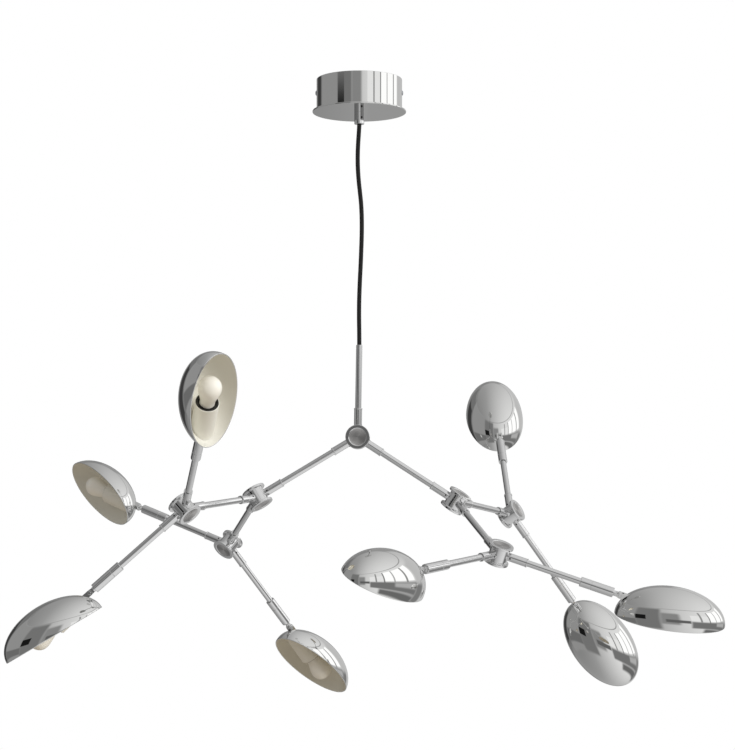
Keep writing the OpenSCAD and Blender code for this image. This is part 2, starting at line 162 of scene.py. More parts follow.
def make_speckle_group():
    """Sprayed or moulded skin: small tone changes, a fine orange-peel relief and dust in the gloss."""
    tree, given, out = group_tree(
        "speckle",
        [("Light", "NodeSocketColor", grey(0.8)), ("Dark", "NodeSocketColor", grey(0.7)),
         ("Grain Scale", "NodeSocketFloat", 900.0), ("Low Rough", "NodeSocketFloat", 0.35),
         ("High Rough", "NodeSocketFloat", 0.5), ("Relief", "NodeSocketFloat", 0.1)],
        [("Color", "NodeSocketColor"), ("Roughness", "NodeSocketFloat"), ("Normal", "NodeSocketVector")])
    where = add_node(tree, "ShaderNodeTexCoord").outputs["Object"]
    broad = add_node(tree, "ShaderNodeTexNoise", Vector=where, Scale=22.0, Detail=3.0)
    tone = add_node(tree, "ShaderNodeMix", {"data_type": "RGBA"}, _0=broad.outputs["Fac"],
                    _6=given["Light"], _7=given["Dark"])
    tree.links.new(tone.outputs[2], out["Color"])
    fine = add_node(tree, "ShaderNodeTexNoise", Vector=where, Scale=given["Grain Scale"], Detail=2.0)
    rough = add_node(tree, "ShaderNodeMapRange", _0=fine.outputs["Fac"], _1=0.3, _2=0.7,
                     _3=given["Low Rough"], _4=given["High Rough"])
    tree.links.new(rough.outputs[0], out["Roughness"])
    bump = add_node(tree, "ShaderNodeBump", Strength=given["Relief"], Distance=0.0003, Height=fine.outputs["Fac"])
    tree.links.new(bump.outputs["Normal"], out["Normal"])
    return tree


def new_material(name):
    material = bpy.data.materials.new(name)
    material.use_nodes = True
    tree = material.node_tree
    return material, tree, tree.nodes["Principled BSDF"]


def place_group(tree, group, shader, **values):
    """Drives a shader's colour, roughness and normal from a node group."""
    node = tree.nodes.new("ShaderNodeGroup")
    node.node_tree = group
    for key, value in values.items():
        node.inputs[key.replace("_", " ")].default_value = value
    tree.links.new(node.outputs["Color"], shader.inputs["Base Color"])
    tree.links.new(node.outputs["Roughness"], shader.inputs["Roughness"])
    tree.links.new(node.outputs["Normal"], shader.inputs["Normal"])
    return node


def chrome_material(name, bright, cloudy, gloss, haze, waviness, cloud_scale=30.0):
    material, tree, shader = new_material(name)
    shader.inputs["Metallic"].default_value = 1.0
    place_group(tree, polish, shader, Bright=(*bright, 1.0), Cloudy=(*cloudy, 1.0), Gloss=gloss,
                Haze=haze, Waviness=waviness, Cloud_Scale=cloud_scale)
    return material


def turned_chrome_material(name):
    """The lathe-turned dish of a hub. Its fine rings about the hub's axis stretch the gloss through the anisotropic
    tangent, and two light and two dark sectors round the axis are painted into its colour.
    """
    material, tree, shader = new_material(name)
    shader.inputs["Metallic"].default_value = 1.0
    shader.inputs["Anisotropic"].default_value = 0.7
    metal = place_group(tree, polish, shader, Bright=(0.60, 0.59, 0.58, 1.0), Cloudy=(0.56, 0.55, 0.54, 1.0),
                        Gloss=0.30, Haze=0.31, Waviness=0.0, Cloud_Scale=60.0)
    # painted light and shade: two light and two dark sectors round the hub's axis, multiplied into the dish's colour
    turn = add_node(tree, "ShaderNodeSeparateXYZ", Vector=add_node(
        tree, "ShaderNodeUVMap", {"uv_map": "turn"}).outputs["UV"])
    phase = add_node(tree, "ShaderNodeMath", {"operation": "MULTIPLY_ADD"},
                     _0=turn.outputs["X"], _1=4 * math.pi, _2=0.9)
    wave = add_node(tree, "ShaderNodeMath", {"operation": "SINE"}, _0=phase.outputs[0])
    painted_light_sectors = add_node(tree, "ShaderNodeMapRange", _0=wave.outputs[0], _1=-1.0, _2=1.0, _3=0.62, _4=1.0)
    sector_shaded_colour = add_node(tree, "ShaderNodeMix", {"data_type": "RGBA", "blend_type": "MULTIPLY"}, _0=1.0,
                     _6=metal.outputs["Color"], _7=painted_light_sectors.outputs[0])
    tree.links.new(sector_shaded_colour.outputs[2], shader.inputs["Base Color"])
    around = add_node(tree, "ShaderNodeTangent", {"direction_type": "UV_MAP", "uv_map": "turn"})
    tree.links.new(around.outputs["Tangent"], shader.inputs["Tangent"])
    return material


def painted_material(name, light, dark, low, high, relief, grain=900.0, coat=0.0):
    material, tree, shader = new_material(name)
    shader.inputs["Coat Weight"].default_value = coat
    shader.inputs["Coat Roughness"].default_value = 0.15
    place_group(tree, speckle, shader, Light=(*light, 1.0), Dark=(*dark, 1.0), Low_Rough=low,
                High_Rough=high, Relief=relief, Grain_Scale=grain)
    return material


def frosted_material(name):
    """The etched glass of a bulb, with a faint gloss over it."""
    material, tree, shader = new_material(name)
    place_group(tree, speckle, shader, Light=(0.97, 0.95, 0.89, 1.0), Dark=(0.95, 0.93, 0.86, 1.0),
                Low_Rough=0.30, High_Rough=0.42, Relief=0.03, Grain_Scale=1500.0)
    shader.inputs["Coat Weight"].default_value = 0.25
    shader.inputs["Coat Roughness"].default_value = 0.12
    return material


def textile_material(name):
    """A braided cord cover: two sets of slanting yarns that pass over and under each other."""
    material, tree, shader = new_material(name)
    uv = add_node(tree, "ShaderNodeUVMap", {"uv_map": "braid"}).outputs["UV"]
    split = add_node(tree, "ShaderNodeSeparateXYZ", Vector=uv)
    heights = []
    for slant in (1.0, -1.0):
        turned = add_node(tree, "ShaderNodeMath", {"operation": "MULTIPLY_ADD"},
                          _0=split.outputs["Y"], _1=slant, _2=split.outputs["X"])
        phase = add_node(tree, "ShaderNodeMath", {"operation": "MULTIPLY"}, _0=turned.outputs[0], _1=2 * math.pi * 8)
        heights.append(add_node(tree, "ShaderNodeMath", {"operation": "SINE"}, _0=phase.outputs[0]).outputs[0])
    over = add_node(tree, "ShaderNodeMath", {"operation": "MULTIPLY"}, _0=heights[0], _1=heights[1])
    relief = add_node(tree, "ShaderNodeMapRange", _0=over.outputs[0], _1=-1.0, _2=1.0)
    yarn = add_node(tree, "ShaderNodeTexNoise", Vector=uv, Scale=260.0, Detail=2.0)
    height = add_node(tree, "ShaderNodeMath", {"operation": "MULTIPLY_ADD"},
                      _0=yarn.outputs["Fac"], _1=0.35, _2=relief.outputs[0])
    # the colour follows the braid's relief: painted shade, darkest in the grooves between the yarns, with a random yarn
    # tone from the noise
    tone = add_node(tree, "ShaderNodeValToRGB", Fac=height.outputs[0])
    set_stops(tone, [(0.1, grey(0.002)), (0.7, grey(0.006)), (1.0, (0.016, 0.016, 0.017, 1.0))])
    tree.links.new(tone.outputs["Color"], shader.inputs["Base Color"])
    bump = add_node(tree, "ShaderNodeBump", Strength=0.4, Distance=0.00015, Height=height.outputs[0])
    tree.links.new(bump.outputs["Normal"], shader.inputs["Normal"])
    shader.inputs["Roughness"].default_value = 0.75
    shader.inputs["Sheen Weight"].default_value = 0.1
    shader.inputs["Sheen Roughness"].default_value = 0.5
    return material


# ---------- mesh building ----------

def rounded(corners, steps=4):
    """A profile from (x, r, fillet) corners, each rounded with its fillet."""
    flat = [Vector(c[:2]) for c in corners]
    line = []
    for i, corner in enumerate(corners):
        size = corner[2] if len(corner) > 2 else 0
        if not size or i in (0, len(corners) - 1):
            line.append(tuple(flat[i]))
            continue
        back, ahead = flat[i - 1] - flat[i], flat[i + 1] - flat[i]
        start = flat[i] + back.normalized() * min(size, back.length * 0.49)
        end = flat[i] + ahead.normalized() * min(size, ahead.length * 0.49)
        # a close line beside each fillet keeps the flat next to it flat when shaded smooth
        if back.length > 4 * size:
            line.append(tuple(start + back.normalized() * size * 0.3))
        for k in range(steps + 1):
            t = k / steps
            line.append(tuple(start * (1 - t) ** 2 + flat[i] * 2 * t * (1 - t) + end * t * t))
        if ahead.length > 4 * size:
            line.append(tuple(end + ahead.normalized() * size * 0.3))
    return line


class Piece:
    """Closed solids gathered into one mesh, in millimetres, each laid down in its own frame."""

    def __init__(self, name):
        self.name, self.points, self.faces, self.finishes, self.uvs, self.materials = name, [], [], [], [], []

    def add(self, points, faces, material, place, uvs=None):
        first = len(self.points)
        self.points += [place @ (Vector(p) * MM) for p in points]
        self.uvs += uvs or [(0.0, 0.0)] * sum(len(face) for face in faces)
        self.faces += [[first + k for k in face] for face in faces]
        kinds = material if isinstance(material, list) else [material] * len(faces)
        for kind in kinds:
            if kind not in self.materials:
                self.materials.append(kind)
            self.finishes.append(self.materials.index(kind))

    def turned(self, profile, material, place, steps=64, ring=False, bands=()):
        """A solid turned about local X from (x, r) points. ring closes the profile on itself.
        bands gives other materials, as (first, last, material) over the profile's segments."""
        spans = len(profile) if ring else len(profile) - 1
        points, faces, kinds, index, uvs = [], [], [], [], []
        for x, r in profile:
            if r < 1e-6:
                index.append([len(points)] * steps)
                points.append((x, 0, 0))
            else:
                index.append([len(points) + k for k in range(steps)])
                points += [(x, r * math.cos(2 * math.pi * k / steps), r * math.sin(2 * math.pi * k / steps))
                           for k in range(steps)]
        for i in range(spans):
            a, b = index[i], index[(i + 1) % len(profile)]
            kind = next((m for lo, hi, m in bands if lo <= i < hi), material)
            for k in range(steps):
                n = (k + 1) % steps
                low, high = profile[i][1], profile[(i + 1) % len(profile)][1]
                corner = {}
                for key, turn, radius in ((a[k], k, low), (a[n], k + 1, low), (b[n], k + 1, high), (b[k], k, high)):
                    corner.setdefault(key, (turn / steps, radius * 0.01))
                if len(corner) > 2:
                    faces.append(list(corner))
                    uvs += corner.values()
                    kinds.append(kind)
        self.add(points, faces, kinds, place, uvs)

    def plate(self, outline, low, high, material, place, chamfer=0.25):
        """A flat bar from an outline in local XZ, between two values of Y, with eased edges."""
        middle = sum((Vector(p) for p in outline), Vector((0, 0))) / len(outline)
        eased = [tuple(Vector(p) + (middle - Vector(p)).normalized() * chamfer) for p in outline]
        layers = [(eased, low), (outline, low + chamfer), (outline, high - chamfer), (eased, high)]
        count = len(outline)
        points = [(x, y, z) for shape, y in layers for x, z in shape]
        faces = [list(range(count)), list(range(4 * count - 1, 3 * count - 1, -1))]
        for layer in range(3):
            for k in range(count):
                n = (k + 1) % count
                a = layer * count
                faces.append([a + k, a + count + k, a + count + n, a + n])
        self.add(points, faces, material, place)

    def build(self, sharp=32.0):
        mesh = bpy.data.meshes.new(self.name)
        mesh.from_pydata(self.points, [], self.faces)
        for material in self.materials:
            mesh.materials.append(material)
        mesh.polygons.foreach_set("material_index", self.finishes)
        layer = mesh.uv_layers.new(name="turn")
        layer.data.foreach_set("uv", np.array(self.uvs, np.float32).ravel())
        return finished(self.name, mesh, sharp)


def finished(name, mesh, sharp=32.0):
    """An object of the mesh, smooth but for edges sharper than the angle in degrees."""
    mesh.update()
    mesh.shade_smooth()
    mesh.set_sharp_from_angle(angle=math.radians(sharp))
    piece = bpy.data.objects.new(name, mesh)
    bpy.context.scene.collection.objects.link(piece)
    return piece


def settle(piece, body, slot, *nodes):
    """Puts a finished piece on its body, in place of its CAD nodes."""
    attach(piece, body)
    if nodes:
        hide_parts(*nodes)


# ---------- geometry nodes ----------

def make_tube_tree():
    """Round tubes along the edges of a mesh."""
    tree, given, out = group_tree(
        "tubes_on_lines",
        [("Lines", "NodeSocketGeometry", None), ("Radius", "NodeSocketFloat", 0.004),
         ("Sides", "NodeSocketInt", 40), ("Finish", "NodeSocketMaterial", None)],
        [("Tubes", "NodeSocketGeometry")], "GeometryNodeTree")
    curve = add_node(tree, "GeometryNodeMeshToCurve", Mesh=given["Lines"])
    circle = add_node(tree, "GeometryNodeCurvePrimitiveCircle", {"mode": "RADIUS"}, Resolution=given["Sides"],
                      Radius=given["Radius"])
    tube = add_node(tree, "GeometryNodeCurveToMesh", Curve=curve.outputs["Curve"],
                    Profile_Curve=circle.outputs["Curve"], Fill_Caps=True)
    real = add_node(tree, "GeometryNodeRealizeInstances", Geometry=tube.outputs["Mesh"])
    coated = add_node(tree, "GeometryNodeSetMaterial", Geometry=real.outputs["Geometry"], Material=given["Finish"])
    tree.links.new(coated.outputs["Geometry"], out["Tubes"])
    return tree


def make_grub_tree():
    """A small set screw on every point, its axis along the point's outward attribute."""
    tree, given, out = group_tree(
        "grub_screws_on_points",
        [("Points", "NodeSocketGeometry", None), ("Radius", "NodeSocketFloat", 0.0013),
         ("Height", "NodeSocketFloat", 0.0005), ("Socket Radius", "NodeSocketFloat", 0.0007),
         ("Finish", "NodeSocketMaterial", None)],
        [("Screws", "NodeSocketGeometry")], "GeometryNodeTree")
    body = add_node(tree, "GeometryNodeMeshCylinder", Vertices=20, Radius=given["Radius"], Depth=given["Height"])
    top = add_node(tree, "GeometryNodeMeshCylinder", Vertices=6, Radius=given["Socket Radius"], Depth=given["Height"])
    raised = add_node(tree, "GeometryNodeTransform", Geometry=top.outputs["Mesh"], Translation=(0, 0, 0.00012))
    screw = tree.nodes.new("GeometryNodeJoinGeometry")
    tree.links.new(body.outputs["Mesh"], screw.inputs[0])
    tree.links.new(raised.outputs["Geometry"], screw.inputs[0])
    outward = add_node(tree, "GeometryNodeInputNamedAttribute", {"data_type": "FLOAT_VECTOR"}, Name="outward")
    turn = add_node(tree, "FunctionNodeAlignRotationToVector", {"axis": "Z"}, Vector=outward.outputs["Attribute"])
    placed = add_node(tree, "GeometryNodeInstanceOnPoints", Points=given["Points"], Instance=screw.outputs[0],
                      Rotation=turn.outputs["Rotation"])
    real = add_node(tree, "GeometryNodeRealizeInstances", Geometry=placed.outputs["Instances"])
    coated = add_node(tree, "GeometryNodeSetMaterial", Geometry=real.outputs["Geometry"], Material=given["Finish"])
    tree.links.new(coated.outputs["Geometry"], out["Screws"])
    return tree


def grown(name, seed_mesh, tree, **values):
    """Runs a geometry node tree on a seed mesh and returns the plain mesh it makes."""
    seed = bpy.data.objects.new(name + "_seed", seed_mesh)
    bpy.context.scene.collection.objects.link(seed)
    modifier = seed.modifiers.new("grow", "NODES")
    modifier.node_group = tree
    for item in tree.interface.items_tree:
        key = item.name.replace(" ", "_")
        if item.in_out == "INPUT" and key in values:
            modifier[item.identifier] = values[key]
    evaluated = seed.evaluated_get(bpy.context.evaluated_depsgraph_get())
    mesh = bpy.data.meshes.new_from_object(evaluated)
    mesh.name = name
    bpy.data.objects.remove(seed)
    return mesh


def arm_tubes(name, lines, body, *nodes):
    """Tubes between pairs of points, in metres, as one piece on a body."""
    seed = bpy.data.meshes.new(name + "_lines")
    seed.from_pydata([p for pair in lines for p in pair], [(2 * k, 2 * k + 1) for k in range(len(lines))], [])
    mesh = grown(name, seed, tube_tree, Radius=TUBE_R * MM, Sides=48, Finish=frame_chrome)
    settle(finished(name, mesh), body, "frame_chrome", *nodes)


def grub_screws(name, spots, body, radius, height):
    """Set screws at (point, outward direction) pairs."""
    seed = bpy.data.meshes.new(name + "_points")
    seed.from_pydata([p for p, _ in spots], [], [])
    outward = seed.attributes.new("outward", "FLOAT_VECTOR", "POINT")
    outward.data.foreach_set("vector", np.array([tuple(d) for _, d in spots], np.float32).ravel())
    mesh = grown(name, seed, grub_tree, Radius=radius * MM, Height=height * MM,
                 Socket_Radius=radius * 0.55 * MM, Finish=black_steel)
    settle(finished(name, mesh, 30), body, "frame_chrome")


# ---------- frames of the hubs and the heads ----------

def spot(joint):
    """Where a joint stands, in metres."""
    return Vector(JOINTS[joint]["pos_m"])


def frame_from(x, y, z, origin):
    return Matrix.Translation(origin) @ Matrix((x, y, z)).transposed().to_4x4()


def hub_frame(centre, plus, minus):
    """X runs on from the incoming arm, and Y is the axis of the drum."""
    a, b = (plus - centre).normalized(), (minus - centre).normalized()
    x, z = (a + b).normalized(), (a - b).normalized()
    return frame_from(x, z.cross(x), z, centre)


def sleeve_frame(n):
    """The origin is the pivot, X runs on from the arm and Y is the pin."""
    x = Vector(JOINTS[f"swivel_{n}"]["axis"]).normalized()
    y = Vector(JOINTS[f"tilt_{n}"]["axis"]).normalized()
    return frame_from(x, y, x.cross(y), spot(f"swivel_{n}"))


def turn_y(degrees):
    return Matrix.Rotation(math.radians(degrees), 4, "Y")


def head_frame(n):
    return sleeve_frame(n) @ turn_y(HEAD_TILTS[n])


ENTRY_X = -(SHADE_A - ENTRY_INSET)
ENTRY_Z = SHADE_B * math.sqrt(1 - (ENTRY_X / SHADE_A) ** 2)
PIVOT_X = ENTRY_X - PIVOT_STANDOFF * math.cos(math.radians(SHADE_PITCH))
PIVOT_Z = ENTRY_Z + PIVOT_STANDOFF * math.sin(math.radians(SHADE_PITCH))
RIM_IN_HEAD = turn_y(-SHADE_PITCH) @ Matrix.Translation((-PIVOT_X * MM, 0, -PIVOT_Z * MM))

HUBS = {
    "centre": ("frame_turn", "right_hub_turn", "left_hub_turn"),
    "left": ("left_hub_turn", "left_front_hub_turn", "left_back_hub_turn"),
    "right": ("right_hub_turn", "right_back_hub_turn", "right_front_hub_turn"),
    "left_front": ("left_front_hub_turn", "swivel_1", "swivel_3"),
    "left_back": ("left_back_hub_turn", "swivel_2", "swivel_4"),
    "right_back": ("right_back_hub_turn", "swivel_5", "swivel_7"),
    "right_front": ("right_front_hub_turn", "swivel_6", "swivel_8"),
}
ARMS = {
    "centre": ("main_arms",),
    "left": ("arm_left_front", "arm_left_back"),
    "right": ("arm_right_back", "arm_right_front"),
    "left_front": ("head_arm_1", "head_arm_3"),
    "left_back": ("head_arm_2", "head_arm_4"),
    "right_back": ("head_arm_5", "head_arm_7"),
    "right_front": ("head_arm_6", "head_arm_8"),
}


# ---------- hanging parts ----------

CORD_POINTS = [
    (0, 0, -57), (-0.6, 0, -68), (-1.4, 0, -80), (-2, 0, -94), (-2, 0, -108),
    (-1.4, 0, -121), (-0.4, 0, -133), (0.9, 0, -145), (2.2, 0, -158), (3, 0, -173),
    (3.2, 0, -188), (3, 0, -203), (2.4, 0, -220), (1.7, 0, -238), (0.8, 0, -256),
    (0.1, 0, -274), (-0.3, 0, -291), (-0.3, 0, -307), (-0.1, 0, -323), (0, 0, -340)]


def cord_route(steps):
    """The cord's centre line, on a Catmull-Rom curve through its points."""
    last, route = len(CORD_POINTS) - 1, []
    for k in range(steps + 1):
        u = k / steps * last
        i = min(int(u), last - 1)
        t = u - i
        a, b, c, d = (Vector(CORD_POINTS[min(max(j, 0), last)]) for j in (i - 1, i, i + 1, i + 2))
        route.append(0.5 * (2 * b + (c - a) * t + (2 * a - 5 * b + 4 * c - d) * t * t
                            + (3 * b - a - 3 * c + d) * t ** 3) * MM)
    return route


def make_cord():
    """The braided cord from the gland to the stem, as one sleeve of fixed length."""
    steps, sides = 120, 16
    route = cord_route(steps)
    reach = [0.0]
    for a, b in zip(route, route[1:]):
        reach.append(reach[-1] + (b - a).length)
    points = [p + CORD_R * MM * Vector((math.cos(2 * math.pi * s / sides), math.sin(2 * math.pi * s / sides), 0))
              for p in route for s in range(sides)]
    faces, uvs = [], []
    around = 2 * math.pi * CORD_R * MM
    for k in range(steps):
        for s in range(sides):
            n = (s + 1) % sides
            faces.append((k * sides + s, (k + 1) * sides + s, (k + 1) * sides + n, k * sides + n))
            u0, u1 = s / sides, (s + 1) / sides
            v0, v1 = reach[k] / around, reach[k + 1] / around
            uvs += [(u0, v0), (u0, v1), (u1, v1), (u1, v0)]
    faces.append(tuple(range(sides)))
    faces.append(tuple(reversed(range(steps * sides, (steps + 1) * sides))))
    uvs += [(0.5, 0.0)] * (2 * sides)
    mesh = bpy.data.meshes.new("textile_cord")
    mesh.from_pydata(points, [], faces)
    layer = mesh.uv_layers.new(name="braid")
    layer.data.foreach_set("uv", np.array(uvs, np.float32).ravel())
    mesh.materials.append(textile)
    cord = finished("textile_cord", mesh, 60)
    settle(cord, "canopy", "textile_cord", "power_cord")


UP = Matrix.Rotation(math.radians(-90), 4, "Y")


def make_canopy():
    """The cup, its bottom plate, the cord's gland and the screws that hold them."""
    inner = CUP_R - CUP_WALL
    cup = Piece("canopy_cup_shell")
    cup.turned(rounded([(-CUP_H, GLAND_R + 4), (-CUP_H, CUP_R, 0.5), (0, CUP_R, 0.4), (0, inner, 0.3),
                        (-CUP_H + CUP_WALL, inner, 0.5), (-CUP_H + CUP_WALL, GLAND_R + 4)]),
               canopy_chrome, UP, steps=192, ring=True)
    settle(cup.build(), "canopy", "canopy_chrome", "canopy_cup")

    plate = Piece("canopy_bottom_plate")
    top = -CUP_H - SIT
    plate.turned(rounded([(top - PLATE_T + SIT, 4.9), (top - PLATE_T + SIT, PLATE_R, 0.7),
                          (top, PLATE_R, 0.7), (top, 4.9)]), canopy_chrome, UP, steps=192, ring=True)
    settle(plate.build(), "canopy", "canopy_chrome", "canopy_plate")

    base = -CUP_H - PLATE_T
    gland = Piece("cord_gland_tube")
    gland.turned(rounded([(base - GLAND_LEN, 2.9), (base - GLAND_LEN, GLAND_R, 0.5), (base - SIT, GLAND_R, 0.1),
                          (base - SIT, GLAND_NECK_R, 0.1), (base + 9, GLAND_NECK_R, 0.4), (base + 9, 2.2)]),
                 frame_chrome, UP, steps=64, ring=True)
    settle(gland.build(), "canopy", "frame_chrome", "cord_gland")

    screws = Piece("canopy_side_screws")
    for side in (1, -1):
        place = Matrix.Translation((0, 0, SIDE_SCREW_Z * MM)) @ turn_y(0 if side > 0 else 180)
        screws.turned(rounded([(CUP_R - 7, 0), (CUP_R - 7, 1.9, 0.4), (CUP_R, 1.9), (CUP_R + SIT, 3.2, 0.1),
                               (CUP_R + 0.9, 3.1, 0.6), (CUP_R + 1.5, 1.6, 0.4), (CUP_R + 1.5, 1.5, 0.1),
                               (CUP_R + 0.8, 1.3, 0.1), (CUP_R + 0.8, 0)]), plain_steel, place, steps=40)
    settle(screws.build(), "canopy", "plain_steel", "canopy_screws")

    angle = math.radians(-62)
    out = Vector((math.cos(angle), math.sin(angle), 0))
    grub_screws("gland_grub_screw", [(out * (GLAND_R - 0.1) * MM + Vector((0, 0, (base - 7) * MM)), out)],
                "canopy", radius=1.5, height=0.9)


def make_stem(place):
    """The tube under the cord, with a turned groove near its top."""
    stem = Piece("stem_tube")
    top = -STEM_LEN
    stem.turned(rounded([(top, 0), (top, TUBE_R, 0.35), (top + 4, TUBE_R, 0.05), (top + 4.1, TUBE_R - 0.15, 0.05),
                         (top + 4.6, TUBE_R - 0.15, 0.05), (top + 4.7, TUBE_R, 0.05), (-TUBE_START, TUBE_R),
                         (-TUBE_START, 0)]),
                frame_chrome, place, steps=64)
    settle(stem.build(), "canopy", "frame_chrome", "stem")


# ---------- hubs and arms ----------

def make_hub(name, place, directions):
    """A drum between two dished flanges, with a port for each arm and a set screw in each port."""
    half = HUB_LEN / 2
    side = rounded([(half - DISH_DEPTH, 0), (half - DISH_DEPTH + 0.06, 3.0), (half - DISH_DEPTH + 0.25, 6.5),
                    (half - DISH_DEPTH + 0.6, 9.5), (half - 0.5, DISH_R - 0.4, 0.3), (half, DISH_R, 0.25),
                    (half, FLANGE_R, 0.55), (half - FLANGE_T, FLANGE_R, 0.5), (half - FLANGE_T, DRUM_R, 0.9),
                    (0, DRUM_R)])
    dish = sum(r < DISH_R - 0.9 for _, r in side)
    other = [(-x, r) for x, r in side[:-1]]
    profile = other + side[::-1]
    hub = Piece(f"{name}_hub")
    drum = place @ Matrix.Rotation(math.radians(90), 4, "Z")
    hub.turned(profile, frame_chrome, drum, steps=96,
               bands=((0, dish, turned_chrome), (len(profile) - 1 - dish, len(profile), turned_chrome)))
    spots = []
    for direction in directions:
        x = direction.normalized()
        y = (place.to_3x3() @ Vector((0, 1, 0))).normalized()
        port = frame_from(x, y, x.cross(y), place.translation)
        hub.turned(rounded([(2, 0), (2, PORT_R), (PORT_REACH - 1.9, PORT_R, 0.1),
                            (PORT_REACH - 1.6, PORT_R + PORT_BEAD, 0.15), (PORT_REACH - 0.3, PORT_R + PORT_BEAD, 0.25),
                            (PORT_REACH, PORT_R, 0.1), (PORT_REACH, TUBE_R + BORE_GAP, 0.05),
                            (PORT_REACH - 2, TUBE_R + BORE_GAP), (PORT_REACH - 2, 0)]),
                   frame_chrome, port, steps=48)
        out = x.cross(y).normalized()
        out *= -1 if out.y > 0 else 1
        spots.append((place.translation + x * PORT_SCREW_AT * MM + out * (PORT_R - 0.05) * MM, out))
    settle(hub.build(), name, "frame_chrome", f"hub_{name}")
    grub_screws(f"{name}_hub_grub_screws", spots, name, radius=1.1, height=0.5)


def make_frame():
    """Every hub with the tubes that run on from it, and the stem over the first."""
    for name, (own, plus, minus) in HUBS.items():
        place = hub_frame(spot(own), spot(plus), spot(minus))
        x = place.to_3x3() @ Vector((1, 0, 0))
        ways = [-x, spot(plus) - spot(own), spot(minus) - spot(own)]
        make_hub(name, place, ways)
        if name == "centre":
            make_stem(place)
        lines = []
        for joint in (plus, minus):
            way = spot(joint) - spot(own)
            short = ARM_TIP_GAP if joint.startswith("swivel") else TUBE_START
            lines.append((spot(own) + way.normalized() * TUBE_START * MM, spot(joint) - way.normalized() * short * MM))
        arm_tubes(f"{name}_arm_tubes", lines, name, *ARMS[name])


# ---------- lamp heads ----------

def eye_outline(radius, bar, steps=14):
    """A bar along +X from a round eye at the origin, as an XZ outline that runs anticlockwise."""
    arc = [(-radius * math.sin(math.pi * k / steps), -radius * math.cos(math.pi * k / steps)) for k in range(steps + 1)]
    return arc[::-1] + bar


def order(outline):
    """The outline turned so that it runs the way plate() needs."""
    area = sum(a[0] * b[1] - b[0] * a[1] for a, b in zip(outline, outline[1:] + outline[:1]))
    return outline if area > 0 else outline[::-1]


def make_sleeve(n):
    """The sleeve that turns on the arm's end, with the knuckle's tongue and pin."""
    place = sleeve_frame(n)
    start, end = -SLEEVE_GAP - SLEEVE_LEN, -SLEEVE_GAP
    groove = start + SLEEVE_GROOVE_AT
    sleeve = Piece(f"head_{n}_end_sleeve")
    sleeve.turned(rounded([(start + 2, 0), (start + 2, TUBE_R + BORE_GAP), (start, TUBE_R + BORE_GAP, 0.05),
                           (start, SLEEVE_R, 0.6), (groove, SLEEVE_R, 0.12),
                           (groove + 0.1, SLEEVE_R - 0.35, 0.1), (groove + 0.8, SLEEVE_R - 0.35, 0.1),
                           (groove + 0.9, SLEEVE_R, 0.12), (end, SLEEVE_R, 0.7), (end, 3.4, 0.5),
                           (end + 2.2, 3.3, 0.5), (end + 2.2, 0)]), frame_chrome, place, steps=64)
    r = KNUCKLE_R
    tongue = [(-x, -z) for x, z in eye_outline(r, [(7.5, -2.9), (7.5, 2.9)])]
    sleeve.plate(order(tongue), -TONGUE_T / 2, TONGUE_T / 2, frame_chrome, place)
    pin = place @ Matrix.Rotation(math.radians(90), 4, "Z")
    reach = SLOT_W / 2 + EAR_T
    sleeve.turned(rounded([(-reach - 0.5, 0), (-reach - 0.5, 2.0, 0.35), (-reach - SIT, PIN_HEAD_R, 0.1),
                           (-reach - SIT, PIN_R), (reach + SIT, PIN_R), (reach + SIT, PIN_HEAD_R, 0.1),
                           (reach + 0.5, 2.0, 0.35), (reach + 0.5, 0)]), frame_chrome, pin, steps=32)
    settle(sleeve.build(), f"sleeve_{n}", "frame_chrome", f"end_sleeve_{n}")


def dome_ring(height, inset):
    """Half axes of the shade's shell at a height above the rim, on its outer skin less an inset."""
    a, b = SHADE_A - inset, SHADE_B - inset
    k = math.sqrt(max(0.0, 1 - (height / b) ** 2))
    return a * k, b * k


def make_shade(n):
    """A half spheroid shell with a rolled rim: mirror outside, paint inside, and the knuckle's two ears."""
    around, rise = 144, 44
    wall = SHADE_WALL
    rings = []
    for k in range(rise):
        height = SHADE_B * math.sin(math.radians(90) * (1 - k / rise))
        if height > wall * 0.6:
            rings.append((*dome_ring(height, 0), height, 0))
    for k in range(9):
        turn = math.pi * k / 8
        inset = wall / 2 * (1 - math.cos(turn))
        rings.append((SHADE_A - inset, SHADE_B - inset, wall / 2 * (1 - math.sin(turn)), 0 if k < 7 else 1))
    for k in reversed(range(rise)):
        height = (SHADE_B - wall) * math.sin(math.radians(90) * (1 - k / rise))
        if height > wall * 0.8:
            rings.append((*dome_ring(height, wall), height, 1))
    faces, kinds = [], []
    finishes = (shade_chrome, cream)
    # the crown is one point on each skin
    body = [r for r in rings if r[0] > 1e-4]
    points = [(0, 0, SHADE_B)]
    for a, b, height, _ in body:
        points += [(a * math.cos(2 * math.pi * s / around), b * math.sin(2 * math.pi * s / around), height)
                   for s in range(around)]
    points.append((0, 0, SHADE_B - wall))
    last = len(points) - 1
    for s in range(around):
        e = (s + 1) % around
        faces.append((0, 1 + s, 1 + e))
        kinds.append(finishes[0])
        base = 1 + (len(body) - 1) * around
        faces.append((base + s, last, base + e))
        kinds.append(finishes[1])
        for k in range(len(body) - 1):
            a = 1 + k * around
            faces.append((a + s, a + around + s, a + around + e, a + e))
            kinds.append(finishes[body[k + 1][3]])
    shade = Piece(f"head_{n}_shade")
    place = head_frame(n)
    shade.add(points, faces, kinds, place @ RIM_IN_HEAD)
    r, inner, outer = KNUCKLE_R, SLOT_W / 2, SLOT_W / 2 + EAR_T
    ear = order(eye_outline(r, [(4.4, -r), (10.4, r)]))
    for side in (1, -1):
        low, high = sorted((side * inner, side * outer))
        shade.plate(ear, low, high, shade_chrome, place)
    web = order([(4.3, -1.6), (5.6, -1.6), (10.2, 3.4), (4.3, 3.4)])
    shade.plate(web, -inner - 0.3, inner + 0.3, shade_chrome, place, chamfer=0.05)
    settle(shade.build(40), f"head_{n}", "shade_chrome", f"shade_{n}")


